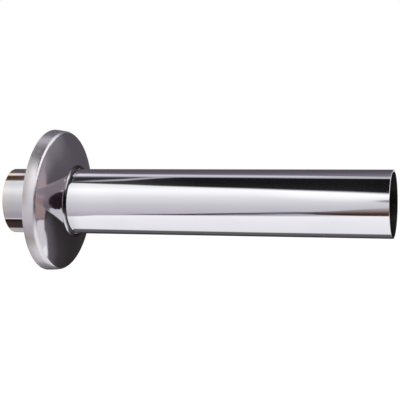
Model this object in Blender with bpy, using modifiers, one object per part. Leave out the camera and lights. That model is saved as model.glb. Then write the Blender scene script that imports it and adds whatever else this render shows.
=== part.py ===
"""Wall connection pipe: a straight plated drain tube with a loose pressed rosette on it.

Metres, +X along the tube and out of the wall, +Z up.  The origin is the centre of the tube's
rear end, which is pushed into the drain socket in the wall.  The rosette slides on the tube
and covers the hole around the socket.
"""

import math

import bpy
from mathutils import Euler, Vector

# Tube
TUBE_RADIUS = 0.016
TUBE_WALL = 0.001
TUBE_LENGTH = 0.190
TUBE_EDGE_BREAK = 0.0002

# Rosette, pressed from one sheet: a drafted skirt, a shallow dome and a short neck
SHEET = 0.0006
RIM_RADIUS = 0.03515
SHOULDER_RADIUS = 0.03445
SKIRT_DEPTH = 0.0062
SHOULDER_FILLET = 0.0012
DOME_OUTER_SLOPE = math.radians(26.5)
DOME_INNER_SLOPE = math.radians(17.0)
NECK_FILLET = 0.0008
NECK_LAND = 0.0006
ROSETTE_EDGE_BREAK = 0.00012

# Fit of the rosette on the tube.  It hangs loose on its neck, so it sits a little low and
# leans: its face looks slightly down and slightly to the front side, which is -Y.
REST_GAP = 0.0003
NECK_DROP = 0.0002
LEAN_DOWN = math.radians(2.4)
LEAN_SIDE = math.radians(1.7)
SPIGOT_LENGTH = 0.0202

# Facets
TURN_STEPS = 72
SHOULDER_STEPS = 5
DOME_STEPS = 8
NECK_STEPS = 4
MERGE_DISTANCE = 0.00001
EDGE_ANGLE = math.radians(50.0)

# Colours and finishes
CHROME = (0.80, 0.80, 0.83, 1.0)
CHROME_ROUGHNESS = 0.07
PRESSED_CHROME = (0.77, 0.76, 0.79, 1.0)
PRESSED_ROUGHNESS = 0.12


def clear_scene():
    """Remove every object that the file opens with."""
    for thing in list(bpy.data.objects):
        bpy.data.objects.remove(thing, do_unlink=True)


def new_collection(name):
    """Make a collection in the scene."""
    collection = bpy.data.collections.new(name)
    bpy.context.scene.collection.children.link(collection)
    return collection


def metal(name, colour, roughness):
    """A plated metal surface."""
    material = bpy.data.materials.new(name)
    material.use_nodes = True
    shader = material.node_tree.nodes["Principled BSDF"]
    shader.inputs["Base Color"].default_value = colour
    shader.inputs["Metallic"].default_value = 1.0
    shader.inputs["Roughness"].default_value = roughness
    return material


def turned(name, section, edge_break, material, collection):
    """Turn a closed section of (height, radius) points about its object's own Z axis.

    The section runs down its outer side and up its inner side.
    """
    mesh = bpy.data.meshes.new(name)
    points = [(radius, 0.0, height) for height, radius in section]
    edges = [(i, (i + 1) % len(points)) for i in range(len(points))]
    mesh.from_pydata(points, edges, [])
    mesh.materials.append(material)
    piece = bpy.data.objects.new(name, mesh)
    collection.objects.link(piece)

    screw = piece.modifiers.new("Turn", "SCREW")
    screw.steps = TURN_STEPS
    screw.render_steps = TURN_STEPS
    screw.use_merge_vertices = True
    screw.merge_threshold = MERGE_DISTANCE
    screw.use_smooth_shade = True

    bevel = piece.modifiers.new("Broken edges", "BEVEL")
    bevel.width = edge_break
    bevel.segments = 2
    bevel.limit_method = "ANGLE"
    bevel.angle_limit = EDGE_ANGLE
    bevel.harden_normals = True
    return piece


def tube_section():
    """The tube's wall, cut square at both ends."""
    bore = TUBE_RADIUS - TUBE_WALL
    return [(TUBE_LENGTH, TUBE_RADIUS), (0.0, TUBE_RADIUS), (0.0, bore), (TUBE_LENGTH, bore)]


def along(angle):
    """A unit step (height, radius) at an angle from the turning axis."""
    return Vector((math.cos(angle), math.sin(angle)))


def arc(centre, radius, start, end, steps):
    """Points of an arc, each with the angle of the sheet's outward normal."""
    turn = (end - start) / steps
    angles = [start + turn * i for i in range(steps + 1)]
    return [(centre + along(angle) * radius, angle) for angle in angles]


def neck_radius():
    """The neck's outside.  Its bore clears the tube, even where it rides low and leans."""
    lean = math.acos(math.cos(LEAN_DOWN) * math.cos(LEAN_SIDE))
    reach = TUBE_RADIUS + REST_GAP + NECK_DROP + NECK_LAND / 2 * math.sin(lean)
    return reach / math.cos(lean) + SHEET


def outer_face():
    """The rosette's outer side from its rim to its neck, as (point, normal angle)."""
    rim = Vector((0.0, RIM_RADIUS))
    shoulder = Vector((SKIRT_DEPTH, SHOULDER_RADIUS))
    skirt_normal = math.pi / 2 - math.atan2(RIM_RADIUS - SHOULDER_RADIUS, SKIRT_DEPTH)
    skirt_step = along(skirt_normal)
    dome_step = along(DOME_OUTER_SLOPE)

    # The shoulder fillet touches the skirt and the dome's first tangent.
    both = (skirt_step + dome_step) / (1 + skirt_step.dot(dome_step))
    fillet_centre = shoulder - both * SHOULDER_FILLET
    face = [(rim, skirt_normal)]
    face += arc(fillet_centre, SHOULDER_FILLET, skirt_normal, DOME_OUTER_SLOPE, SHOULDER_STEPS)

    # The dome is one large arc that flattens towards the neck.
    dome_start = face[-1][0]
    neck = neck_radius()
    dome_end_radius = neck + NECK_FILLET * (1 - math.sin(DOME_INNER_SLOPE))
    fall = math.sin(DOME_OUTER_SLOPE) - math.sin(DOME_INNER_SLOPE)
    dome_radius = (dome_start.y - dome_end_radius) / fall
    dome_centre = dome_start - dome_step * dome_radius
    face += arc(dome_centre, dome_radius, DOME_OUTER_SLOPE, DOME_INNER_SLOPE, DOME_STEPS)[1:]

    # A hollow fillet turns the sheet out into the neck.
    neck_centre = face[-1][0] + along(DOME_INNER_SLOPE) * NECK_FILLET
    hollow = arc(neck_centre, -NECK_FILLET, DOME_INNER_SLOPE, math.pi / 2, NECK_STEPS)
    face += hollow[1:]
    face.append((face[-1][0] + Vector((NECK_LAND, 0.0)), math.pi / 2))
    return face


def rosette_section():
    """The pressed sheet, with heights measured from the middle of the neck's land."""
    outer = outer_face()
    inner = [point - along(angle) * SHEET for point, angle in outer]
    # The rim is trimmed square to the axis, so its inner edge stays at the rim's height.
    inner[0] = Vector((0.0, RIM_RADIUS - SHEET / math.sin(outer[0][1])))
    loop = [point for point, angle in reversed(outer)] + inner
    return [(point.x - bearing_height(), point.y) for point in loop]


def bearing_height():
    """Height above the rim of the middle of the neck's land, where the rosette hangs."""
    return outer_face()[-1][0].x - NECK_LAND / 2


def build_tube(collection):
    """The straight tube, open at both ends."""
    finish = metal("chrome_tube", CHROME, CHROME_ROUGHNESS)
    tube = turned("wall_tube", tube_section(), TUBE_EDGE_BREAK, finish, collection)
    tube.rotation_euler = Euler((0.0, math.pi / 2, 0.0))
    return tube


def build_rosette(collection):
    """The pressed rosette, leaning on an empty that slides along the tube's axis."""
    lean = Euler((0.0, math.pi / 2 + LEAN_DOWN, -LEAN_SIDE))
    rim_to_neck = lean.to_matrix() @ Vector((0.0, 0.0, bearing_height()))

    slide = bpy.data.objects.new("rosette_slide", None)
    slide.empty_display_size = TUBE_RADIUS
    slide.location = (SPIGOT_LENGTH + rim_to_neck.x, 0.0, 0.0)
    collection.objects.link(slide)

    finish = metal("chrome_rosette", PRESSED_CHROME, PRESSED_ROUGHNESS)
    rosette = turned("wall_rosette", rosette_section(), ROSETTE_EDGE_BREAK, finish, collection)
    rosette.parent = slide
    rosette.location = (0.0, 0.0, -NECK_DROP)
    rosette.rotation_euler = lean
    return rosette


def main():
    """Build the wall connection pipe."""
    clear_scene()
    pipe = new_collection("wall_connection_pipe")
    build_tube(pipe)
    build_rosette(pipe)
    bpy.context.view_layer.update()


main()
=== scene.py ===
"""Wall connection pipe: the visible pieces and the studio around them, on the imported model's frame.

Metres, +X along the tube and out of the wall, +Z up, the viewer on the -Y side.
"""

import math

import bpy
from mathutils import Euler, Matrix, Vector


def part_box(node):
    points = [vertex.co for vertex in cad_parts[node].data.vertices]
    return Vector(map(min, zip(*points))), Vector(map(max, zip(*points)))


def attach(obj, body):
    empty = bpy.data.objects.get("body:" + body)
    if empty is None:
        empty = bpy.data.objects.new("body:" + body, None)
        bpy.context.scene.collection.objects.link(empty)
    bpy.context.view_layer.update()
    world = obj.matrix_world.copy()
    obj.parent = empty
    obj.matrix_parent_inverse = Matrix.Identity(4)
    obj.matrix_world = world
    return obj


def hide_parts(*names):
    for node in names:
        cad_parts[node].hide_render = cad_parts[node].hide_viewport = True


bl_info = {
    "name": "Wall connection pipe",
    "version": (1, 0, 0),
    "blender": (4, 5, 0),
    "location": "3D View > Sidebar > Wall pipe",
    "description": "A plated drain tube with its sliding wall rosette, and a studio to look at them in",
    "category": "Object",
}

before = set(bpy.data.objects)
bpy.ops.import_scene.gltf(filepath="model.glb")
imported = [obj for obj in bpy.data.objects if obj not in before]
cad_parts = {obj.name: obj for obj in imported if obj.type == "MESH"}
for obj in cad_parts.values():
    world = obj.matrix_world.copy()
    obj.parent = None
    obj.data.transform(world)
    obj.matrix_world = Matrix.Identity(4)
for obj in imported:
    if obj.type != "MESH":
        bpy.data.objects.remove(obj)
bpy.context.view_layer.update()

# The tube's highest corner, at its front end
TUBE_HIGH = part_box("wall_tube")[1]

# Fit of the rosette: how far its neck hangs below the tube's axis, and the length of tube behind its
# rim, which goes into the wall
NECK_DROP = 0.00003
SPIGOT_LENGTH = 0.0202

# Fineness of the turned meshes
EDGE_STEPS = 6
SKIRT_STEPS = 20
SHOULDER_STEPS = 14
DOME_STEPS = 24
NECK_STEPS = 14

# A stretch of a section that is longer than this has a point set in from each of its ends
LONG_STRETCH = 0.0003
SUPPORT_INSET = 0.00006

# Metals that show where the plating is thin
NICKEL = (0.88, 0.83, 0.77)
BRASS = (0.78, 0.60, 0.35)

# Painted reflection tint and shade on the skirt, water marks on the back, painted shade round the tube
SKIRT_REFLECTION_TINT = (0.80, 0.765, 0.795)
SKIRT_SHADE = (0.31, 0.275, 0.27)
WATER_MARK = (0.34, 0.27, 0.19)
GAP_SHADE = (0.018, 0.016, 0.017)

# Reaches of a finish from an edge, in metres: where it starts, and where it is full.  These are
# along the tube, from its rear end and its front end.
REAR_HANDLED = (0.03, 0.0)
REAR_NICKEL = (0.0085, 0.0040)
REAR_BRASS = (0.0011, 0.0005)
FRONT_BRASS = (0.00018, 0.0004)

# Up from the rosette's rim
RIM_BRASS = (0.0005, 0.0002)
RIM_SHADE = (0.0055, 0.0012)
SHOULDER_SHADE = (0.0056, 0.0044)

# Outwards from the shoulder's radius and from the lip's bore, and what the painted shade's reach gains
# above and below the tube, and beside it
SKIRT_EDGE = (-0.0013, -0.0003)
DOME_GAP_SHADE = (0.0014, 0.0007)
BACK_GAP_SHADE = (0.006, 0.003)
GAP_SHADE_ABOVE = 0.0009
GAP_SHADE_BESIDE = 0.0006

# The painted skirt shade's patches, as start, full from, full to and end between the top, -1, and the
# bottom, 1, and its reach from the skirt's top and bottom, 0, to its front, -1
UPPER_PATCH = (-0.64, -0.5, -0.1, 0.15)
LOWER_PATCH = (0.25, 0.5, 0.5, 0.7)
FRONT_SIDE = (0.0, -0.3)

# Share of a speck that is its full middle
SPECK_MIDDLE = 0.4

# Half the floor's width, its colour and its glow, and the air's strength as light and as shown
FLOOR_HALF = 6.0
FLOOR_COLOUR = (0.8, 0.8, 0.8, 1.0)
FLOOR_GLOW = 0.35
AIR_LIGHT = 0.85
AIR_SHOWN = 1.0

# Fineness of the studio's cards
CARD_STEPS = 10
CARD_ROWS = 24

# A colour ramp holds at most 1, so a card's colours are divided by this and its glow is multiplied
CARD_GLOW = 2.0


# Settings

class TubeSettings(bpy.types.PropertyGroup):
    """Sizes and finish of the tube."""

    radius: bpy.props.FloatProperty(
        name="Radius", description="Outside radius of the tube",
        default=TUBE_HIGH.z, min=0.005, max=0.05, unit="LENGTH", subtype="DISTANCE")
    wall: bpy.props.FloatProperty(
        name="Wall", description="Thickness of the tube's wall",
        default=0.001, min=0.0003, max=0.004, unit="LENGTH", subtype="DISTANCE")
    length: bpy.props.FloatProperty(
        name="Length", description="Length of the tube from end to end",
        default=TUBE_HIGH.x, min=0.05, max=1.0, unit="LENGTH", subtype="DISTANCE")
    edge_break: bpy.props.FloatProperty(
        name="Edge break", description="Radius of the deburred edges at both cut ends",
        default=0.0002, min=0.00005, max=0.0005, unit="LENGTH", subtype="DISTANCE")
    steps: bpy.props.IntProperty(
        name="Steps", description="Facets round the tube", default=256, min=24, max=720)
    plating: bpy.props.FloatVectorProperty(
        name="Plating", description="Colour of the bright plating",
        default=(0.80, 0.80, 0.83), min=0.0, max=1.0, subtype="COLOR")
    # The bore's near-black colour is painted shade inside the tube.
    bore: bpy.props.FloatVectorProperty(
        name="Bore", description="Colour of the dull metal inside the tube",
        default=(0.055, 0.05, 0.045), min=0.0, max=1.0, subtype="COLOR")


class RosetteSettings(bpy.types.PropertyGroup):
    """Sizes and finish of the pressed rosette."""

    rim_radius: bpy.props.FloatProperty(
        name="Rim radius", description="Outside radius of the rim that meets the wall",
        default=0.03515, min=0.02, max=0.08, unit="LENGTH", subtype="DISTANCE")
    shoulder_radius: bpy.props.FloatProperty(
        name="Shoulder radius", description="Radius at which the skirt and the dome would meet",
        default=0.03445, min=0.02, max=0.08, unit="LENGTH", subtype="DISTANCE")
    skirt_depth: bpy.props.FloatProperty(
        name="Skirt depth", description="Height of the skirt from the rim to the shoulder",
        default=0.0062, min=0.002, max=0.03, unit="LENGTH", subtype="DISTANCE")
    skirt_bulge: bpy.props.FloatProperty(
        name="Skirt bulge", description="How far the skirt's middle stands out from straight",
        default=0.00004, min=0.0, max=0.0005, unit="LENGTH", subtype="DISTANCE")
    shoulder_fillet: bpy.props.FloatProperty(
        name="Shoulder fillet", description="Outside radius of the rounding between skirt and dome",
        default=0.0023, min=0.0002, max=0.005, unit="LENGTH", subtype="DISTANCE")
    neck_flare: bpy.props.FloatProperty(
        name="Neck flare", description="Radius of the hollow in which the dome turns out along the tube",
        default=0.0022, min=0.0002, max=0.005, unit="LENGTH", subtype="DISTANCE")
    lip_gap: bpy.props.FloatProperty(
        name="Lip gap", description="Clear space between the lip and the tube",
        default=0.00008, min=0.00005, max=0.003, unit="LENGTH", subtype="DISTANCE")
    lip_slope: bpy.props.FloatProperty(
        name="Lip slope", description="Tilt of the sheet's face where the flare ends beside the tube",
        default=math.radians(68.0), min=0.5, max=1.5, unit="ROTATION", subtype="ANGLE")
    sheet: bpy.props.FloatProperty(
        name="Sheet", description="Thickness of the pressed sheet",
        default=0.0006, min=0.0002, max=0.003, unit="LENGTH", subtype="DISTANCE")
    edge_break: bpy.props.FloatProperty(
        name="Edge break", description="Radius of the rim's and the neck's edges",
        default=0.00012, min=0.00005, max=0.0003, unit="LENGTH", subtype="DISTANCE")
    outer_slope: bpy.props.FloatProperty(
        name="Outer slope", description="Tilt of the dome's face beside the shoulder",
        default=math.radians(26.5), min=0.0, max=1.2, unit="ROTATION", subtype="ANGLE")
    inner_slope: bpy.props.FloatProperty(
        name="Inner slope", description="Tilt of the dome's face beside the neck",
        default=math.radians(17.0), min=0.0, max=1.2, unit="ROTATION", subtype="ANGLE")
    lean_down: bpy.props.FloatProperty(
        name="Lean down", description="How far the loose rosette's face looks down",
        default=math.radians(2.4), min=-0.1, max=0.1, unit="ROTATION", subtype="ANGLE")
    lean_side: bpy.props.FloatProperty(
        name="Lean to the front", description="How far the loose rosette's face looks to the front",
        default=math.radians(1.7), min=-0.1, max=0.1, unit="ROTATION", subtype="ANGLE")
    steps: bpy.props.IntProperty(
        name="Steps", description="Facets round the rosette", default=192, min=24, max=720)
    plating: bpy.props.FloatVectorProperty(
        name="Plating", description="Colour of the plating on the pressed sheet",
        default=(0.77, 0.76, 0.79), min=0.0, max=1.0, subtype="COLOR")


class StudioSettings(bpy.types.PropertyGroup):
    """The camera, the floor and the light."""

    camera_place: bpy.props.FloatVectorProperty(
        name="Camera place", description="Where the camera stands",
        default=(0.2552, -0.5459, 0.0195), unit="LENGTH", subtype="TRANSLATION")
    camera_aim: bpy.props.FloatVectorProperty(
        name="Camera aim", description="Direction in which the camera looks",
        default=(-0.2783, 0.9600, -0.0323), subtype="DIRECTION")
    lens: bpy.props.FloatProperty(
        name="Lens", description="Focal length in millimetres on a 36 mm sensor",
        default=105.9, min=20.0, max=300.0)
    floor_level: bpy.props.FloatProperty(
        name="Floor level", description="Height of the floor, below the tube's axis",
        default=-0.25, min=-2.0, max=-0.04, unit="LENGTH", subtype="DISTANCE")
    tent_radius: bpy.props.FloatProperty(
        name="Tent radius", description="Distance of the bent cards from the tube's axis",
        default=0.4, min=0.2, max=2.0, unit="LENGTH", subtype="DISTANCE")
    room_radius: bpy.props.FloatProperty(
        name="Room radius", description="Distance of the room's panels from the object",
        default=2.0, min=1.0, max=10.0, unit="LENGTH", subtype="DISTANCE")


# Helpers

def new_object(name, data):
    """A new object in the scene."""
    thing = bpy.data.objects.new(name, data)
    bpy.context.scene.collection.objects.link(thing)
    return thing


def add_node(tree, kind, values=(), **settings):
    """Add a node, set its own settings by name and its inputs by name or number."""
    node = tree.nodes.new(kind)
    for name, value in settings.items():
        setattr(node, name, value)
    for name, value in dict(values).items():
        node.inputs[name].default_value = value
    return node


def join(tree, *pairs):
    """Feed inputs, from pairs of a socket or a plain value and the input that it goes to."""
    for source, target in pairs:
        if isinstance(source, bpy.types.NodeSocket):
            tree.links.new(source, target)
        else:
            target.default_value = source


def chain(tree, *nodes):
    """Link each node's first output to the next one's first input."""
    for before, after in zip(nodes, nodes[1:]):
        join(tree, (before.outputs[0], after.inputs[0]))


def calculate(tree, operation, first, second):
    """One step of arithmetic on two values, each a socket or a number."""
    node = add_node(tree, "ShaderNodeMath", operation=operation)
    join(tree, (first, node.inputs[0]), (second, node.inputs[1]))
    return node.outputs[0]


def axes(tree, vector):
    """The X, Y and Z of a vector, by name."""
    parts = add_node(tree, "ShaderNodeSeparateXYZ")
    join(tree, (vector, parts.inputs[0]))
    return parts.outputs


# Turning

def turning_tree():
    """A node tree that turns a section of edges in the XZ plane about the Z axis."""
    tree = bpy.data.node_groups.new("turn_a_section", "GeometryNodeTree")
    for name, kind in (("Section", "Geometry"), ("Steps", "Int"), ("Circle radius", "Float"),
                       ("Outside", "Material"), ("Inside", "Material")):
        tree.interface.new_socket(name, in_out="INPUT", socket_type="NodeSocket" + kind)
    tree.interface.new_socket("Turned", in_out="OUTPUT", socket_type="NodeSocketGeometry")

    start = add_node(tree, "NodeGroupInput").outputs
    end = add_node(tree, "NodeGroupOutput")
    place = axes(tree, add_node(tree, "GeometryNodeInputPosition").outputs[0])
    loop = add_node(tree, "GeometryNodeMeshToCurve")
    flat = add_node(tree, "ShaderNodeCombineXYZ")
    profile = add_node(tree, "GeometryNodeSetPosition")
    circle = add_node(tree, "GeometryNodeCurvePrimitiveCircle")
    upright = add_node(tree, "GeometryNodeSetCurveNormal", mode="Z_UP")
    sweep = add_node(tree, "GeometryNodeCurveToMesh")
    smooth = add_node(tree, "GeometryNodeSetShadeSmooth")
    whole = add_node(tree, "GeometryNodeRealizeInstances")
    outside = add_node(tree, "GeometryNodeSetMaterial")
    zone = add_node(tree, "GeometryNodeInputNamedAttribute", {"Name": "inside"}, data_type="BOOLEAN")
    inside = add_node(tree, "GeometryNodeSetMaterial")
    join(
        tree,
        (start["Section"], loop.inputs["Mesh"]),
        (calculate(tree, "SUBTRACT", place["X"], start["Circle radius"]), flat.inputs["X"]),
        (calculate(tree, "MULTIPLY", place["Z"], -1.0), flat.inputs["Y"]),
        (flat.outputs["Vector"], profile.inputs["Position"]),
        (start["Steps"], circle.inputs["Resolution"]),
        (start["Circle radius"], circle.inputs["Radius"]),
        (profile.outputs["Geometry"], sweep.inputs["Profile Curve"]),
        (start["Outside"], outside.inputs["Material"]),
        (zone.outputs["Attribute"], inside.inputs["Selection"]),
        (start["Inside"], inside.inputs["Material"]),
    )
    chain(tree, loop, profile)
    chain(tree, circle, upright, sweep, smooth, whole, outside, inside, end)
    return tree


def turned_piece(name, section, place, steps, outside, inside):
    """Turn a closed section of (height, radius, is inside) points and put it in its place."""
    mesh = bpy.data.meshes.new(name + "_section")
    count = len(section)
    mesh.from_pydata([(radius, 0.0, height) for height, radius, zone in section],
                     [(i, (i + 1) % count) for i in range(count)], [])
    marks = mesh.attributes.new("inside", "BOOLEAN", "POINT")
    for mark, (height, radius, zone) in zip(marks.data, section):
        mark.value = zone
    carrier = new_object(name + "_section", mesh)
    turn = carrier.modifiers.new("Turn", "NODES")
    turn.node_group = bpy.data.node_groups.get("turn_a_section") or turning_tree()
    radii = [radius for height, radius, zone in section]
    values = {"Steps": steps, "Circle radius": (min(radii) + max(radii)) / 2,
              "Outside": outside, "Inside": inside}
    for item in turn.node_group.interface.items_tree:
        if item.name in values:
            turn[item.identifier] = values[item.name]
    bpy.context.view_layer.update()
    evaluated = carrier.evaluated_get(bpy.context.evaluated_depsgraph_get())
    finished = bpy.data.meshes.new_from_object(evaluated)
    bpy.data.objects.remove(carrier, do_unlink=True)
    if not finished.polygons:
        raise RuntimeError("the section of " + name + " did not turn into a mesh")

    finished.name = name
    finished.transform(place)
    return new_object(name, finished)


# Sections, as closed loops of (height, radius, is inside)

def along(angle):
    """A unit step (height, radius) at an angle from the turning axis."""
    return Vector((math.cos(angle), math.sin(angle)))


def arc(centre, radius, start, end, steps):
    """Points of an arc, each with the angle of the outward normal."""
    angles = [start + (end - start) * i / steps for i in range(steps + 1)]
    return [(centre + along(angle) * radius, angle) for angle in angles]


def supported(section):
    """Add a point just inside both ends of each long stretch, so that smooth shading stays true."""
    result = []
    for here, after in zip(section, section[1:] + section[:1]):
        result.append(here)
        start, end = Vector(here[:2]), Vector(after[:2])
        stretch = end - start
        if stretch.length > LONG_STRETCH:
            inset = stretch.normalized() * SUPPORT_INSET
            zone = here[2] and after[2]
            result += [(*(start + inset), zone), (*(end - inset), zone)]
    return result


def tube_section(tube):
    """The tube's wall with its broken edges: front end, outer side, rear end, bore."""
    rounding = tube.edge_break
    front, rear = tube.length - rounding, rounding
    outer, bore = tube.radius - rounding, tube.radius - tube.wall + rounding
    corners = [(front, outer, 0, False), (rear, outer, 1, False),
               (rear, bore, 2, True), (front, bore, 3, True)]
    section = []
    for height, radius, quarter, inner in corners:
        start = quarter * math.pi / 2
        points = arc(Vector((height, radius)), rounding, start, start + math.pi / 2, EDGE_STEPS)
        section += [(*point, inner) for point, angle in points]
    return supported(section)


def neck_radius(tube, rosette):
    """The lip's outside, whose bore clears the tube even where it hangs low and leans."""
    lean = math.acos(math.cos(rosette.lean_down) * math.cos(rosette.lean_side))
    reach = tube.radius + rosette.lip_gap
    return reach / math.cos(lean) + rosette.sheet * math.sin(rosette.lip_slope)


def rosette_face(tube, rosette):
    """The rosette's outer side from its rim to its neck, as (point, normal angle)."""
    rim = Vector((0.0, rosette.rim_radius))
    shoulder = Vector((rosette.skirt_depth, rosette.shoulder_radius))
    taper = rosette.rim_radius - rosette.shoulder_radius
    skirt_normal = math.pi / 2 - math.atan2(taper, rosette.skirt_depth)
    bend = 4 * rosette.skirt_bulge / rosette.skirt_depth
    skirt_step = along(skirt_normal - bend)
    dome_step = along(rosette.outer_slope)

    # The shoulder fillet touches the skirt and the dome's first tangent.
    both = (skirt_step + dome_step) / (1 + skirt_step.dot(dome_step))
    fillet_centre = shoulder - both * rosette.shoulder_fillet
    fillet = arc(fillet_centre, rosette.shoulder_fillet, skirt_normal - bend, rosette.outer_slope,
                 SHOULDER_STEPS)
    face = []
    for i in range(SKIRT_STEPS):
        share = i / SKIRT_STEPS
        bulge = along(skirt_normal) * (4 * rosette.skirt_bulge * share * (1 - share))
        face.append((rim.lerp(fillet[0][0], share) + bulge, skirt_normal + bend * (1 - 2 * share)))
    face += fillet

    # The dome is one large arc that flattens towards the neck.
    dome_start = face[-1][0]
    turned_in = math.sin(rosette.lip_slope) - math.sin(rosette.inner_slope)
    dome_end_radius = neck_radius(tube, rosette) + rosette.neck_flare * turned_in
    flattened = math.sin(rosette.outer_slope) - math.sin(rosette.inner_slope)
    dome_radius = (dome_start.y - dome_end_radius) / flattened
    dome_centre = dome_start - dome_step * dome_radius
    face += arc(dome_centre, dome_radius, rosette.outer_slope, rosette.inner_slope, DOME_STEPS)[1:]

    # A hollow flare turns the sheet out along the tube.
    neck_centre = face[-1][0] + along(rosette.inner_slope) * rosette.neck_flare
    face += arc(neck_centre, -rosette.neck_flare, rosette.inner_slope, rosette.lip_slope,
                NECK_STEPS)[1:]
    return face


def rounded_corner(before, corner, after, radius):
    """Points that round off a sharp corner of a section with an arc of about that radius."""
    arrive, leave = (before - corner).normalized(), (after - corner).normalized()
    opening = arrive.angle(leave)
    reach = radius / math.tan(opening / 2)
    centre = corner + (arrive + leave).normalized() * (radius / math.sin(opening / 2))
    first, last = corner + arrive * reach - centre, corner + leave * reach - centre
    turn = first.angle_signed(last)
    points = []
    for i in range(EDGE_STEPS + 1):
        angle = turn * i / EDGE_STEPS
        cosine, sine = math.cos(angle), math.sin(angle)
        points.append(centre + Vector((first.x * cosine + first.y * sine,
                                       first.y * cosine - first.x * sine)))
    return points


def rosette_section(tube, rosette):
    """The pressed sheet with heights from the lip's bore, and that bore's height over the rim."""
    outer = rosette_face(tube, rosette)
    inner = [point - along(angle) * rosette.sheet for point, angle in outer]
    bearing = inner[-1].x
    # The rim is trimmed square to the axis, so its inner edge stays at the rim's height.
    inner[0] = Vector((0.0, rosette.rim_radius - rosette.sheet / math.sin(outer[0][1])))

    outer_points = [point for point, angle in reversed(outer)]
    loop = [(point, False) for point in outer_points] + [(point, True) for point in inner]
    sharp = {0, len(outer) - 1, len(outer), len(loop) - 1}
    section = []
    for i, (point, inner_side) in enumerate(loop):
        if i in sharp:
            before, after = loop[i - 1][0], loop[(i + 1) % len(loop)][0]
            points = rounded_corner(before, point, after, rosette.edge_break)
        else:
            points = [point]
        section += [(spot.x - bearing, spot.y, inner_side) for spot in points]
    return supported(section), bearing


def rosette_lean(rosette):
    """How the loose rosette is turned from lying on its rim."""
    return Euler((0.0, math.pi / 2 + rosette.lean_down, -rosette.lean_side))


def rosette_place(rosette, bearing):
    """Where the leaning rosette sits on the tube, as a matrix."""
    lean = rosette_lean(rosette).to_matrix()
    rim_to_neck = lean @ Vector((0.0, 0.0, bearing))
    place = Vector((SPIGOT_LENGTH + rim_to_neck.x, 0.0, -NECK_DROP))
    return Matrix.Translation(place) @ lean.to_4x4()


# Materials.  Every pattern reads Object coordinates, in metres.

def new_metal(name):
    """A metal material, as (material, tree, shader, place on the piece)."""
    material = bpy.data.materials.new(name)
    material.use_nodes = True
    tree = material.node_tree
    shader = tree.nodes["Principled BSDF"]
    shader.inputs["Metallic"].default_value = 1.0
    place = add_node(tree, "ShaderNodeTexCoord").outputs["Object"]
    return material, tree, shader, place


def blank_material(name):
    """A material with an empty node tree, as (material, tree)."""
    material = bpy.data.materials.new(name)
    material.use_nodes = True
    material.node_tree.nodes.clear()
    return material, material.node_tree


def shade(colour, factor):
    """A colour made darker or lighter by a factor."""
    return tuple(channel * factor for channel in colour)


def scaled(tree, value, factor):
    """A value times a factor, each a socket or a number."""
    return calculate(tree, "MULTIPLY", value, factor)


def mixed(tree, base, *additions):
    """A base plus the other patterns, each given as (pattern, its share)."""
    for pattern, share in additions:
        base = calculate(tree, "ADD", base, scaled(tree, pattern, share))
    return base


def vector_step(tree, operation, vector, amount=(0.0, 0.0, 0.0)):
    """One step on a vector with a fixed amount: a number for its length, and otherwise a vector."""
    node = add_node(tree, "ShaderNodeVectorMath", {1: amount}, operation=operation)
    join(tree, (vector, node.inputs[0]))
    return node.outputs["Value" if operation == "LENGTH" else "Vector"]


def remap(tree, value, low, high, to_low=0.0, to_high=1.0):
    """A smooth step from one value to another while the input goes from low to high."""
    limits = {"From Min": low, "From Max": high, "To Min": to_low, "To Max": to_high}
    node = add_node(tree, "ShaderNodeMapRange", limits, interpolation_type="SMOOTHSTEP")
    join(tree, (value, node.inputs["Value"]))
    return node.outputs[0]


def reached(tree, value, reach, edge=0.0):
    """A smooth step from 0 to 1 between the two ends of a reach from an edge."""
    return remap(tree, value, edge + reach[0], edge + reach[1])


def patch(tree, value, start, full_from, full_to, end):
    """One between two values, fading smoothly to zero at the start and at the end."""
    return scaled(tree, remap(tree, value, start, full_from), remap(tree, value, end, full_to))


def noise(tree, place, per_metre=(1.0, 1.0, 1.0), detail=2.0):
    """Noise with its own number of waves per metre along each axis."""
    node = add_node(tree, "ShaderNodeTexNoise", {"Scale": 1.0, "Detail": detail})
    join(tree, (vector_step(tree, "MULTIPLY", place, per_metre), node.inputs["Vector"]))
    return node.outputs[0]


def specks(tree, place, per_metre, size, share):
    """Small round specks in a share of the cells of a loose grid, 1 at their middles."""
    node = add_node(tree, "ShaderNodeTexVoronoi", {"Scale": per_metre})
    join(tree, (place, node.inputs["Vector"]))
    reach = size * per_metre
    dot = remap(tree, node.outputs["Distance"], reach, reach * SPECK_MIDDLE)
    chance = add_node(tree, "ShaderNodeSeparateColor")
    join(tree, (node.outputs["Color"], chance.inputs[0]))
    return scaled(tree, dot, calculate(tree, "LESS_THAN", chance.outputs["Red"], share))


def tinted(tree, share, base, tint):
    """A colour that goes from a base, a socket or a colour, to a tint."""
    node = add_node(tree, "ShaderNodeMix", data_type="RGBA")
    if not isinstance(base, bpy.types.NodeSocket):
        base = (*base, 1.0)
    # This node repeats its sockets' names for each kind of value, so they go by number.
    join(tree, (share, node.inputs[0]), (base, node.inputs[6]), ((*tint, 1.0), node.inputs[7]))
    return node.outputs[2]


def dress(tree, shader, colour, rough, *layers):
    """Give a metal its colour, its roughness and its bump, from (pattern, height in metres) layers."""
    join(tree, (colour, shader.inputs["Base Color"]), (rough, shader.inputs["Roughness"]))
    normal = None
    for pattern, height in layers:
        bump = add_node(tree, "ShaderNodeBump", {"Strength": 1.0, "Distance": height})
        join(tree, (pattern, bump.inputs["Height"]))
        if normal:
            join(tree, (normal, bump.inputs["Normal"]))
        normal = bump.outputs[0]
    join(tree, (normal, shader.inputs["Normal"]))


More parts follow.
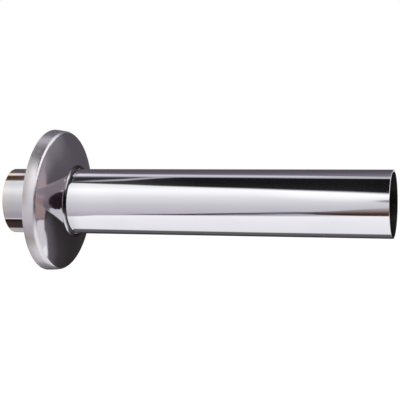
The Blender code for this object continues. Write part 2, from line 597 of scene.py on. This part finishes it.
def bright_plating(tube):
    """Mirror plating: polished lengthwise, faintly hazed and pitted, thin and warm at the cut ends."""
    material, tree, shader, place = new_metal("bright_plating")
    along_tube = axes(tree, place)["X"]
    cloud = noise(tree, place, (40.0, 75.0, 75.0), detail=4.0)
    fine = noise(tree, place, (60.0, 2600.0, 2600.0), detail=3.0)
    broad = noise(tree, place, (9.0, 420.0, 420.0))
    sway = noise(tree, place, (26.0, 60.0, 60.0), detail=1.0)
    pits = specks(tree, place, per_metre=150.0, size=0.00022, share=0.10)
    haze = remap(tree, cloud, 0.56, 0.74)
    handled = reached(tree, along_tube, REAR_HANDLED)
    colour = tinted(tree, scaled(tree, haze, 0.35), tube.plating, shade(tube.plating, 0.94))

    # The plating thins towards the rear cut, where the nickel and then the brass show through.
    ragged = mixed(tree, along_tube, (cloud, 0.004), (broad, 0.002))
    colour = tinted(tree, scaled(tree, reached(tree, ragged, REAR_NICKEL), 0.8), colour, NICKEL)
    worn_rear = reached(tree, mixed(tree, along_tube, (cloud, 0.0012)), REAR_BRASS)
    worn_front = reached(tree, mixed(tree, along_tube, (cloud, 0.0006)), FRONT_BRASS, tube.length)
    worn = calculate(tree, "MAXIMUM", worn_rear, worn_front)
    colour = tinted(tree, scaled(tree, worn, 0.8), colour, BRASS)

    rough = mixed(tree, 0.035, (fine, 0.03), (haze, 0.045), (handled, 0.012), (pits, 0.4),
                  (worn_rear, 0.15))
    dress(tree, shader, colour, rough,
          (sway, 0.000012), (broad, 0.0000006), (fine, 0.00000006), (pits, -0.000006))
    return material


def dull_bore(tube):
    """The raw, stained inside of the tube with its lengthwise drawing lines, near black with painted
    shade.
    """
    material, tree, shader, place = new_metal("dull_bore")
    lines = noise(tree, place, (14.0, 1500.0, 1500.0), detail=3.0)
    stain = noise(tree, place, (55.0, 110.0, 110.0), detail=5.0)
    light = scaled(tree, remap(tree, lines, 0.5, 0.8), 0.4)
    colour = tinted(tree, remap(tree, stain, 0.35, 0.7), tube.bore, shade(tube.bore, 0.45))
    colour = tinted(tree, light, colour, shade(tube.bore, 1.5))
    rough = mixed(tree, 0.34, (stain, 0.2), (lines, 0.12))
    dress(tree, shader, colour, rough, (stain, 0.00002), (lines, 0.000003))
    return material


def rosette_frame(tree, place, rosette, bearing):
    """The place in the leaning rosette's own frame, with its direction and distance from the axis."""
    rest = {"Location": rosette_place(rosette, bearing).to_translation(),
            "Rotation": rosette_lean(rosette)}
    own = add_node(tree, "ShaderNodeMapping", rest, vector_type="TEXTURE")
    join(tree, (place, own.inputs["Vector"]))
    local = own.outputs[0]
    flat = vector_step(tree, "MULTIPLY", local, (1.0, 1.0, 0.0))
    return local, vector_step(tree, "NORMALIZE", flat), vector_step(tree, "LENGTH", flat)


def around(tree, direction, turns, third, per_metre):
    """A vector that goes round the axis without a seam, with a third measure in metres."""
    ring = axes(tree, vector_step(tree, "MULTIPLY", direction, (turns, turns, 0.0)))
    whole = add_node(tree, "ShaderNodeCombineXYZ")
    join(tree, (ring["X"], whole.inputs["X"]), (ring["Y"], whole.inputs["Y"]),
         (scaled(tree, third, per_metre), whole.inputs["Z"]))
    return whole.outputs[0]


def pressed_plating(tube, rosette, bearing):
    """Plating on pressed sheet: a bright dome with fine rings and a scuffed, brushed skirt."""
    material, tree, shader, place = new_metal("pressed_plating")
    local, direction, radius = rosette_frame(tree, place, rosette, bearing)
    height = axes(tree, local)["Z"]
    skirt = reached(tree, radius, SKIRT_EDGE, rosette.shoulder_radius)
    dome = calculate(tree, "SUBTRACT", 1.0, skirt)
    rings = noise(tree, around(tree, direction, 2.5, radius, 1900.0))
    lines = noise(tree, around(tree, direction, 7.0, height, 4200.0), detail=3.0)
    dents = noise(tree, around(tree, direction, 9.0, height, 120.0))
    cloud = noise(tree, local, (85.0, 85.0, 85.0), detail=4.0)
    peel = noise(tree, local, (900.0, 900.0, 900.0))
    scuffs = remap(tree, noise(tree, local, (420.0, 420.0, 900.0), detail=5.0), 0.55, 0.72)
    pits = specks(tree, local, per_metre=260.0, size=0.00018, share=0.10)
    dusty = scaled(tree, remap(tree, cloud, 0.4, 0.75), 0.5)
    colour = tinted(tree, dusty, rosette.plating, shade(rosette.plating, 0.9))
    # The skirt's mauve tint is a painted reflection.
    colour = tinted(tree, scaled(tree, skirt, 0.8), colour, SKIRT_REFLECTION_TINT)

    # Painted shade, a darker and pinker reflection, lies on the skirt's front: one patch by the rim
    # above the middle, and one below it.
    sides = axes(tree, direction)
    down, back = sides["X"], sides["Y"]
    rim = calculate(tree, "ADD", height, bearing)
    by_rim = scaled(tree, reached(tree, mixed(tree, rim, (cloud, 0.0015)), RIM_SHADE), 0.5)
    off_shoulder = scaled(tree, reached(tree, rim, SHOULDER_SHADE), 0.75)
    skirt_shade = calculate(tree, "ADD", scaled(tree, by_rim, patch(tree, down, *UPPER_PATCH)),
                     scaled(tree, off_shoulder, patch(tree, down, *LOWER_PATCH)))
    skirt_shade = scaled(tree, skirt_shade, reached(tree, back, FRONT_SIDE))
    colour = tinted(tree, skirt_shade, colour, SKIRT_SHADE)
    worn = scaled(tree, reached(tree, mixed(tree, rim, (cloud, 0.0004)), RIM_BRASS), 0.6)
    colour = tinted(tree, worn, colour, BRASS)

    # Painted shade darkens the hollow round the tube, widest above, below and beside it.
    upright = calculate(tree, "ABSOLUTE", down, 0.0)
    spread = calculate(tree, "ADD", remap(tree, upright, 0.7, 0.95, 0.0, -GAP_SHADE_ABOVE),
                       remap(tree, upright, 0.42, 0.22, 0.0, -GAP_SHADE_BESIDE))
    ragged = mixed(tree, calculate(tree, "ADD", radius, spread), (cloud, 0.0003))
    gap_shade = scaled(tree, reached(tree, ragged, DOME_GAP_SHADE, tube.radius + rosette.lip_gap), 0.95)
    colour = tinted(tree, gap_shade, colour, GAP_SHADE)

    skirt_rough = mixed(tree, 0.21, (lines, 0.10), (scuffs, 0.14))
    rough = mixed(tree, 0.045, (rings, 0.03), (remap(tree, cloud, 0.5, 0.8), 0.04), (pits, 0.3),
                  (gap_shade, 0.2), (skirt, skirt_rough))
    dress(tree, shader, colour, rough, (scaled(tree, dents, skirt), 0.00003),
          (scaled(tree, lines, skirt), 0.0000015), (scaled(tree, rings, dome), 0.0000002),
          (peel, 0.0000003), (pits, -0.000005))
    return material


def sheet_back(tube, rosette, bearing):
    """The rosette's unpolished back, with its thin plating, press rings and water marks."""
    material, tree, shader, place = new_metal("sheet_back")
    local, direction, radius = rosette_frame(tree, place, rosette, bearing)
    rings = noise(tree, around(tree, direction, 3.0, radius, 1200.0), detail=3.0)
    cloud = noise(tree, local, (70.0, 70.0, 70.0), detail=5.0)
    marks = scaled(tree, remap(tree, cloud, 0.6, 0.75), 0.35)
    colour = tinted(tree, remap(tree, cloud, 0.35, 0.7), shade(rosette.plating, 0.8), NICKEL)
    colour = tinted(tree, marks, colour, WATER_MARK)
    # Painted shade darkens the back round the lip's bore, beside the tube.
    ragged = mixed(tree, radius, (cloud, 0.003))
    gap_shade = scaled(tree, reached(tree, ragged, BACK_GAP_SHADE, tube.radius + rosette.lip_gap), 0.95)
    colour = tinted(tree, gap_shade, colour, GAP_SHADE)
    rough = mixed(tree, 0.27, (rings, 0.14), (cloud, 0.16))
    dress(tree, shader, colour, rough, (cloud, 0.00003), (rings, 0.000002))
    return material


# Studio

def make_camera(studio):
    """The camera at the photograph's angle."""
    data = bpy.data.cameras.new("photo_camera")
    data.lens = studio.lens
    data.sensor_width = 36.0
    camera = new_object("photo_camera", data)
    camera.location = studio.camera_place
    camera.rotation_mode = "QUATERNION"
    camera.rotation_quaternion = Vector(studio.camera_aim).to_track_quat("-Z", "Y")
    bpy.context.scene.camera = camera


def make_air():
    """White air for the camera and the metal, and plain light for the rest."""
    world = bpy.data.worlds.new("studio_air")
    world.use_nodes = True
    bpy.context.scene.world = world
    tree = world.node_tree
    background = tree.nodes["Background"]
    background.inputs["Color"].default_value = (1.0, 1.0, 1.0, 1.0)
    path = add_node(tree, "ShaderNodeLightPath").outputs
    shown = calculate(tree, "MAXIMUM", path["Is Camera Ray"], path["Is Transmission Ray"])
    shown = calculate(tree, "MAXIMUM", shown, path["Is Glossy Ray"])
    strength = add_node(tree, "ShaderNodeMapRange", {"To Min": AIR_LIGHT, "To Max": AIR_SHOWN})
    join(tree, (shown, strength.inputs["Value"]),
         (strength.outputs[0], background.inputs["Strength"]))


def make_floor(studio):
    """A plain pale floor, seen from above only, that keeps the object's shadow."""
    mesh = bpy.data.meshes.new("floor")
    corners = [(-1, -1), (1, -1), (1, 1), (-1, 1)]
    mesh.from_pydata([(x * FLOOR_HALF, y * FLOOR_HALF, studio.floor_level) for x, y in corners],
                     [], [(0, 1, 2, 3)])
    floor = new_object("floor", mesh)
    floor.visible_glossy = False
    material, tree = blank_material("pale_floor")
    paint = add_node(tree, "ShaderNodeBsdfDiffuse", {"Color": FLOOR_COLOUR})
    glow = add_node(tree, "ShaderNodeEmission", {"Strength": FLOOR_GLOW})
    both = add_node(tree, "ShaderNodeAddShader")
    clear = add_node(tree, "ShaderNodeBsdfTransparent")
    side = add_node(tree, "ShaderNodeNewGeometry")
    pick = add_node(tree, "ShaderNodeMixShader")
    out = add_node(tree, "ShaderNodeOutputMaterial")
    join(
        tree,
        (paint.outputs[0], both.inputs[0]),
        (glow.outputs[0], both.inputs[1]),
        (side.outputs["Backfacing"], pick.inputs[0]),
        (both.outputs[0], pick.inputs[1]),
        (clear.outputs[0], pick.inputs[2]),
        (pick.outputs[0], out.inputs["Surface"]),
    )
    mesh.materials.append(material)


def tent_point(x, roll, radius):
    """A point of the tent bent round the tube: roll 0 is in front, 90 above, -90 below."""
    angle = math.radians(roll)
    return (x, -radius * math.cos(angle), radius * math.sin(angle))


def room_point(azimuth, elevation, radius):
    """A point of the room: azimuth 0 is behind the tube, 90 beyond its front end."""
    turn, rise = math.radians(azimuth), math.radians(elevation)
    return (radius * math.sin(turn) * math.cos(rise), radius * math.cos(turn) * math.cos(rise),
            radius * math.sin(rise))


# Cards that only the metal sees.  A station is (place, low edge, high edge, level), and a level left
# out is 1.  The shades are (height between the edges, colour).  The softness is the share of the card
# over which its left, right, low and high edges fade.  Of two cards in one direction, the one with
# the smaller setback is in front.  In the tent, places are in metres and edges are rolls in degrees.
TENT = (
    dict(name="front_softbox", setback=0.03, softness=(0.05, 0.03, 0.02, 0.02), stations=(
        (-0.6, -66, 84, 0.7), (-0.19, -66, 84, 0.8), (-0.12, -66, 84, 1.05), (-0.08, -66, 84),
        (0.1, -66, 84), (0.16, -66, 84, 0.9),
    ), shades=(
        (0.13, (0.51, 0.47, 0.53)), (0.22, (0.60, 0.575, 0.63)), (0.36, (0.68, 0.665, 0.70)),
        (0.46, (0.78, 0.78, 0.80)), (0.57, (0.92, 0.92, 0.93)), (0.64, (1.10, 1.10, 1.10)),
        (0.72, (1.22, 1.22, 1.22)), (0.84, (1.0, 1.0, 1.0)),
    )),
    dict(name="softbox_lamp", setback=0.02, softness=(0.3, 0.05, 0.6, 0.2), stations=(
        (0.02, 22, 46), (0.07, 8, 46), (0.11, 2, 46), (0.2, 10, 46),
    ), shades=((0.0, (1.12, 1.12, 1.12)), (1.0, (1.3, 1.3, 1.3)))),
    dict(name="black_flag", setback=0.01, softness=(0.05, 0.02, 0.16, 0.1), stations=(
        (-0.145, 67, 98, 2.6), (-0.12, 65, 98, 2.8), (-0.1, 62.5, 98, 3.4), (-0.075, 59.3, 98, 3.3),
        (-0.048, 54.5, 98, 1.8), (-0.014, 50.6, 98), (0.03, 46, 98), (0.07, 40.5, 98),
        (0.11, 35.3, 98, 1.1), (0.138, 30.6, 98, 0.8), (0.18, 23, 98, 0.8),
    ), shades=((0.0, (0.024, 0.022, 0.023)), (0.5, (0.011, 0.011, 0.012)))),
    dict(name="light_sliver", setback=0.0, softness=(0.3, 0.2, 0.4, 0.4), stations=(
        (-0.14, 69, 76, 0.2), (-0.12, 70, 78.5, 0.35), (-0.105, 72, 83, 0.9),
        (-0.078, 77, 89.5, 1.15), (-0.05, 88.5, 101), (-0.025, 96, 104),
    ), shades=((0.0, (0.50, 0.48, 0.53)), (1.0, (0.46, 0.44, 0.49)))),
    dict(name="overhead_strip", setback=0.0, softness=(0.01, 0.02, 0.4, 0.45), stations=(
        (-0.165, 97, 125, 1.4), (-0.1, 96.5, 120, 1.15), (-0.07, 95.5, 118), (0.07, 94.5, 111.5),
        (0.11, 96.5, 107.5, 0.9), (0.138, 97.5, 105.5, 0.8), (0.18, 97.5, 105.5, 0.8),
    ), shades=((0.0, (0.74, 0.71, 0.79)), (0.5, (0.72, 0.70, 0.78)))),
    dict(name="side_softbox", setback=0.02, softness=(0.02, 0.1, 0.05, 0.1), stations=(
        (0.19, 16, 112), (0.38, 20, 112), (0.6, 62, 112),
    ), shades=((0.0, (1.5, 1.48, 1.5)), (1.0, (1.5, 1.48, 1.52)))),
    dict(name="table", setback=0.01, softness=(0.01, 0.02, 0.1, 0.035), stations=(
        (-0.165, -117, -53, 0.4), (-0.132, -117, -52, 0.75), (-0.122, -117, -51.5),
        (-0.105, -118, -46.5), (-0.05, -120, -43.5), (0.03, -121, -41.5), (0.07, -121, -40),
        (0.11, -121, -37), (0.15, -121, -36.2), (0.3, -123, -37, 0.95), (0.7, -130, -40, 0.78),
    ), shades=((0.0, (0.92, 0.92, 0.95)), (0.7, (1.0, 1.0, 1.02)), (1.0, (1.09, 1.08, 1.1)))),
    dict(name="table_line", setback=0.0, softness=(0.2, 0.12, 0.3, 0.4), stations=(
        (-0.09, -44, -41.5, 1.3), (-0.031, -43.8, -37.5, 0.3), (-0.014, -43, -35.3, 0.12),
        (0.003, -41.8, -33, 0.2), (0.02, -40.2, -30.5, 0.5), (0.037, -39.4, -28.5, 0.6),
        (0.053, -37.5, -26, 0.9), (0.07, -36, -24, 0.85), (0.086, -36, -24.5, 0.35),
        (0.1, -36, -25, 0.3),
    ), shades=((0.0, (0.20, 0.175, 0.21)), (1.0, (0.20, 0.18, 0.225)))),
    dict(name="table_gap", setback=0.005, softness=(0.12, 0.02, 0.12, 0.2), stations=(
        (0.07, -34, -27, 0.5), (0.086, -36, -24, 0.5), (0.102, -37.6, -20, 0.55),
        (0.118, -38.8, -14.5, 0.7), (0.138, -39, -8), (0.18, -39, 2),
    ), shades=(
        (0.0, (0.085, 0.045, 0.036)), (0.35, (0.085, 0.045, 0.034)), (0.46, (0.20, 0.125, 0.11)),
        (0.62, (0.35, 0.27, 0.27)), (0.85, (0.50, 0.44, 0.48)), (1.0, (0.56, 0.53, 0.58)),
    )),
    dict(name="stand_mark", setback=0.0, softness=(0.4, 0.02, 0.4, 0.3), stations=(
        (0.126, 9.5, 13), (0.138, 5, 17), (0.17, 3, 18),
    ), shades=((0.0, (0.30, 0.28, 0.32)), (1.0, (0.30, 0.28, 0.31)))),
    dict(name="left_strip", setback=0.0, softness=(0.05, 0.01, 0.3, 0.35), stations=(
        (-0.6, 101, 121), (-0.167, 101, 121),
    ), shades=((0.0, (0.95, 0.83, 0.76)), (1.0, (0.98, 0.86, 0.79)))),
    dict(name="left_shelf", setback=0.01, softness=(0.05, 0.01, 0.12, 0.1), stations=(
        (-0.6, 76, 104), (-0.167, 76, 104),
    ), shades=(
        (0.0, (0.26, 0.19, 0.17)), (0.3, (0.10, 0.06, 0.045)), (0.6, (0.06, 0.03, 0.018)),
        (1.0, (0.14, 0.09, 0.07)),
    )),
    dict(name="left_flag", setback=0.0, softness=(0.05, 0.01, 0.08, 0.12), stations=(
        (-0.6, -115, -64), (-0.13, -115, -64),
    ), shades=(
        (0.0, (0.055, 0.036, 0.038)), (0.6, (0.05, 0.03, 0.032)), (0.85, (0.013, 0.008, 0.009)),
        (1.0, (0.02, 0.01, 0.01)),
    )),
    dict(name="left_floor", setback=0.01, softness=(0.05, 0.01, 0.05, 0.05), stations=(
        (-0.6, -160, -113), (-0.167, -160, -113),
    ), shades=((0.0, (0.48, 0.46, 0.47)), (1.0, (0.5, 0.48, 0.49)))),
)

# In the room, places are azimuths and edges are elevations, in degrees.
ROOM = (
    dict(name="backdrop_high", setback=0.0, softness=(0.1, 0.005, 0.005, 0.08), stations=(
        (-80, 0, 84), (-5, 0, 84), (12, 0, 66), (22, 0, 48), (32, 0, 33), (45, 0, 29), (57.4, 0, 27),
        (63.8, 0, 22), (69.9, 0, 16), (72.3, 0, 10), (73.3, 0, 6),
    ), shades=(
        (0.0, (0.10, 0.088, 0.105)), (0.45, (0.115, 0.10, 0.12)), (0.62, (0.135, 0.12, 0.14)),
        (0.7, (0.17, 0.155, 0.18)), (0.82, (0.22, 0.205, 0.23)), (1.0, (0.27, 0.25, 0.28)),
    )),
    dict(name="backdrop_low", setback=0.0, softness=(0.02, 0.005, 0.05, 0.005), stations=(
        (-60, -37, 0), (0, -36.5, 0), (30, -35, 0), (45, -34.5, 0), (57, -30, 0), (64, -25.5, 0),
        (69, -22, 0), (72, -17.5, 0), (73.1, -14, 0), (73.7, -9, 0), (74.2, -6, 0),
    ), shades=(
        (0.0, (0.065, 0.057, 0.063)), (0.4, (0.034, 0.030, 0.031)), (1.0, (0.044, 0.037, 0.040)),
    )),
    dict(name="backdrop_hem", setback=-0.002, softness=(0.3, 0.02, 0.1, 0.78), stations=(
        (15, -35.5, -32.5), (33, -34.7, -28.9), (36.5, -34.5, -27.5), (47, -33.4, -24.8),
        (56, -30, -21.3), (63, -25.7, -16), (68, -22.2, -11), (71.5, -17.1, -8.6),
    ), shades=((0.0, (0.135, 0.118, 0.138)), (0.5, (0.11, 0.096, 0.112)))),
    dict(name="backdrop_foot", setback=0.05, softness=(0.02, 0.02, 0.05, 0.05), stations=(
        (-60, -80, -25), (25, -80, -25),
    ), shades=((0.0, (0.12, 0.115, 0.125)), (0.6, (0.14, 0.13, 0.14)), (1.0, (0.06, 0.055, 0.06)))),
    dict(name="far_floor", setback=0.06, softness=(0.02, 0.02, 0.02, 0.012), stations=(
        (58, -80, -18), (70, -80, -15.7), (77, -80, -15.7), (82, -80, -21.5), (165, -80, -21.5),
    ), shades=((0.0, (0.68, 0.65, 0.69)), (1.0, (0.78, 0.74, 0.79)))),
    dict(name="taupe_wall", setback=0.1, softness=(0.01, 0.01, 0.06, 0.06), stations=(
        (55, -17, 40), (84, -17, 30), (86, -17, 17), (94, -17, 17), (99, -12.5, 14), (103, -8.5, 10),
        (105.5, -3, 6), (106.5, 0, 2),
    ), shades=(
        (0.0, (0.36, 0.27, 0.28)), (0.25, (0.40, 0.29, 0.29)), (0.4, (0.45, 0.34, 0.34)),
        (0.55, (0.44, 0.37, 0.39)), (0.75, (0.31, 0.27, 0.30)),
    )),
    dict(name="mauve_wall", setback=0.12, softness=(0.02, 0.03, 0.02, 0.1), stations=(
        (70, -24, 60), (112, -24, 60),
    ), shades=(
        (0.0, (0.17, 0.145, 0.18)), (0.08, (0.19, 0.16, 0.19)), (0.2, (0.28, 0.235, 0.27)),
        (1.0, (0.30, 0.25, 0.285)),
    )),
    dict(name="dark_door", setback=0.05, softness=(0.01, 0.05, 0.02, 0.12), stations=(
        (100, -24, -22), (102.5, -24, -18), (106, -24, -9.6), (108.2, -24, -4.8), (109.6, -24, 1.5),
        (110.3, -24, 11.6), (111, -24, 19), (112, -24, 24), (162, -24, 24),
    ), shades=(
        (0.0, (0.024, 0.014, 0.018)), (0.6, (0.022, 0.013, 0.016)), (1.0, (0.05, 0.035, 0.045)),
    )),
)


def card_material(name, shades, softness):
    """A card's glow, shaded from its low edge to its high edge, with soft edges."""
    material, tree = blank_material(name)
    card_map = add_node(tree, "ShaderNodeUVMap", uv_map="card")
    across = axes(tree, card_map.outputs["UV"])
    level = add_node(tree, "ShaderNodeAttribute", attribute_name="level")
    ramp = add_node(tree, "ShaderNodeValToRGB")
    stops = ramp.color_ramp.elements
    while len(stops) < len(shades):
        stops.new(0.5)
    for stop, (height, colour) in zip(stops, shades):
        stop.position = height
        stop.color = (*shade(colour, 1 / CARD_GLOW), 1.0)
    left, right, low, high = softness
    cover = scaled(tree, patch(tree, across["X"], 0.0, left, 1.0 - right, 1.0),
                   patch(tree, across["Y"], 0.0, low, 1.0 - high, 1.0))
    glow = add_node(tree, "ShaderNodeEmission")
    clear = add_node(tree, "ShaderNodeBsdfTransparent")
    mix = add_node(tree, "ShaderNodeMixShader")
    out = add_node(tree, "ShaderNodeOutputMaterial")
    join(
        tree,
        (across["Y"], ramp.inputs["Fac"]),
        (ramp.outputs["Color"], glow.inputs["Color"]),
        (level.outputs["Fac"], glow.inputs["Strength"]),
        (cover, mix.inputs[0]),
        (clear.outputs[0], mix.inputs[1]),
        (glow.outputs[0], mix.inputs[2]),
        (mix.outputs[0], out.inputs["Surface"]),
    )
    return material


def make_card(card, point, radius):
    """Make a card from its stations and hide it from everything but reflections."""
    stations = [(*station, 1.0)[:4] for station in card["stations"]]
    columns = []
    for before, after in zip(stations, stations[1:]):
        for i in range(CARD_STEPS):
            share = i / CARD_STEPS
            columns.append([a + (b - a) * share for a, b in zip(before, after)])
    columns.append(stations[-1])
    first, last = stations[0][0], stations[-1][0]
    spots, marks, levels = [], [], []
    for place, low, high, level in columns:
        for j in range(CARD_ROWS + 1):
            height = j / CARD_ROWS
            spots.append(point(place, low + (high - low) * height, radius + card["setback"]))
            marks.append(((place - first) / (last - first), height))
            levels.append(level * CARD_GLOW)
    faces = []
    for i in range(len(columns) - 1):
        for j in range(CARD_ROWS):
            corner = i * (CARD_ROWS + 1) + j
            faces.append((corner, corner + CARD_ROWS + 1, corner + CARD_ROWS + 2, corner + 1))
    mesh = bpy.data.meshes.new(card["name"])
    mesh.from_pydata(spots, [], faces)
    mesh.attributes.new("level", "FLOAT", "POINT").data.foreach_set("value", levels)
    layer = mesh.uv_layers.new(name="card")
    for loop in mesh.loops:
        layer.data[loop.index].uv = marks[loop.vertex_index]
    mesh.materials.append(card_material(card["name"], card["shades"], card["softness"]))
    panel = new_object(card["name"], mesh)
    panel.visible_camera = False
    panel.visible_diffuse = False
    panel.visible_transmission = False
    panel.visible_volume_scatter = False
    panel.visible_shadow = False


# Pieces

class WALLPIPE_OT_make_tube(bpy.types.Operator):
    """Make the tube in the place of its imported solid"""

    bl_idname = "wall_pipe.make_tube"
    bl_label = "Make the tube"

    def execute(self, context):
        tube = context.scene.wall_pipe_tube
        lying = Matrix.Rotation(math.pi / 2, 4, "Y")
        piece = turned_piece("plated_tube", tube_section(tube), lying, tube.steps,
                             bright_plating(tube), dull_bore(tube))
        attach(piece, "tube")
        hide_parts("wall_tube")
        return {"FINISHED"}


class WALLPIPE_OT_make_rosette(bpy.types.Operator):
    """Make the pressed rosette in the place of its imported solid"""

    bl_idname = "wall_pipe.make_rosette"
    bl_label = "Make the rosette"

    def execute(self, context):
        tube = context.scene.wall_pipe_tube
        rosette = context.scene.wall_pipe_rosette
        section, bearing = rosette_section(tube, rosette)
        piece = turned_piece("pressed_rosette", section, rosette_place(rosette, bearing), rosette.steps,
                             pressed_plating(tube, rosette, bearing), sheet_back(tube, rosette, bearing))
        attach(piece, "rosette")
        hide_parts("wall_rosette")
        return {"FINISHED"}


class WALLPIPE_OT_make_studio(bpy.types.Operator):
    """Make the camera, the floor and the light"""

    bl_idname = "wall_pipe.make_studio"
    bl_label = "Make the studio"

    def execute(self, context):
        studio = context.scene.wall_pipe_studio
        context.scene.view_settings.view_transform = "Standard"
        make_camera(studio)
        make_floor(studio)
        make_air()
        for card in TENT:
            make_card(card, tent_point, studio.tent_radius)
        for card in ROOM:
            make_card(card, room_point, studio.room_radius)
        return {"FINISHED"}


class WALLPIPE_PT_sidebar(bpy.types.Panel):
    """The wall pipe's sizes, colours and steps"""

    bl_idname = "WALLPIPE_PT_sidebar"
    bl_label = "Wall connection pipe"
    bl_space_type = "VIEW_3D"
    bl_region_type = "UI"
    bl_category = "Wall pipe"

    def draw(self, context):
        for group, settings, operator in PARTS:
            box = self.layout.box()
            for name in settings.__annotations__:
                box.prop(getattr(context.scene, group), name)
            box.operator(operator)


PARTS = (
    ("wall_pipe_tube", TubeSettings, "wall_pipe.make_tube"),
    ("wall_pipe_rosette", RosetteSettings, "wall_pipe.make_rosette"),
    ("wall_pipe_studio", StudioSettings, "wall_pipe.make_studio"),
)
CLASSES = (
    TubeSettings,
    RosetteSettings,
    StudioSettings,
    WALLPIPE_OT_make_tube,
    WALLPIPE_OT_make_rosette,
    WALLPIPE_OT_make_studio,
    WALLPIPE_PT_sidebar,
)


def register():
    """Add the settings, operators and panel."""
    for cls in CLASSES:
        bpy.utils.register_class(cls)
    for group, settings, operator in PARTS:
        setattr(bpy.types.Scene, group, bpy.props.PointerProperty(type=settings))


def unregister():
    """Remove the settings, operators and panel."""
    for group, settings, operator in PARTS:
        delattr(bpy.types.Scene, group)
    for cls in reversed(CLASSES):
        bpy.utils.unregister_class(cls)


def main():
    """Make everything in order."""
    register()
    bpy.ops.wall_pipe.make_tube()
    bpy.ops.wall_pipe.make_rosette()
    bpy.ops.wall_pipe.make_studio()


if __name__ == "__main__":
    main()
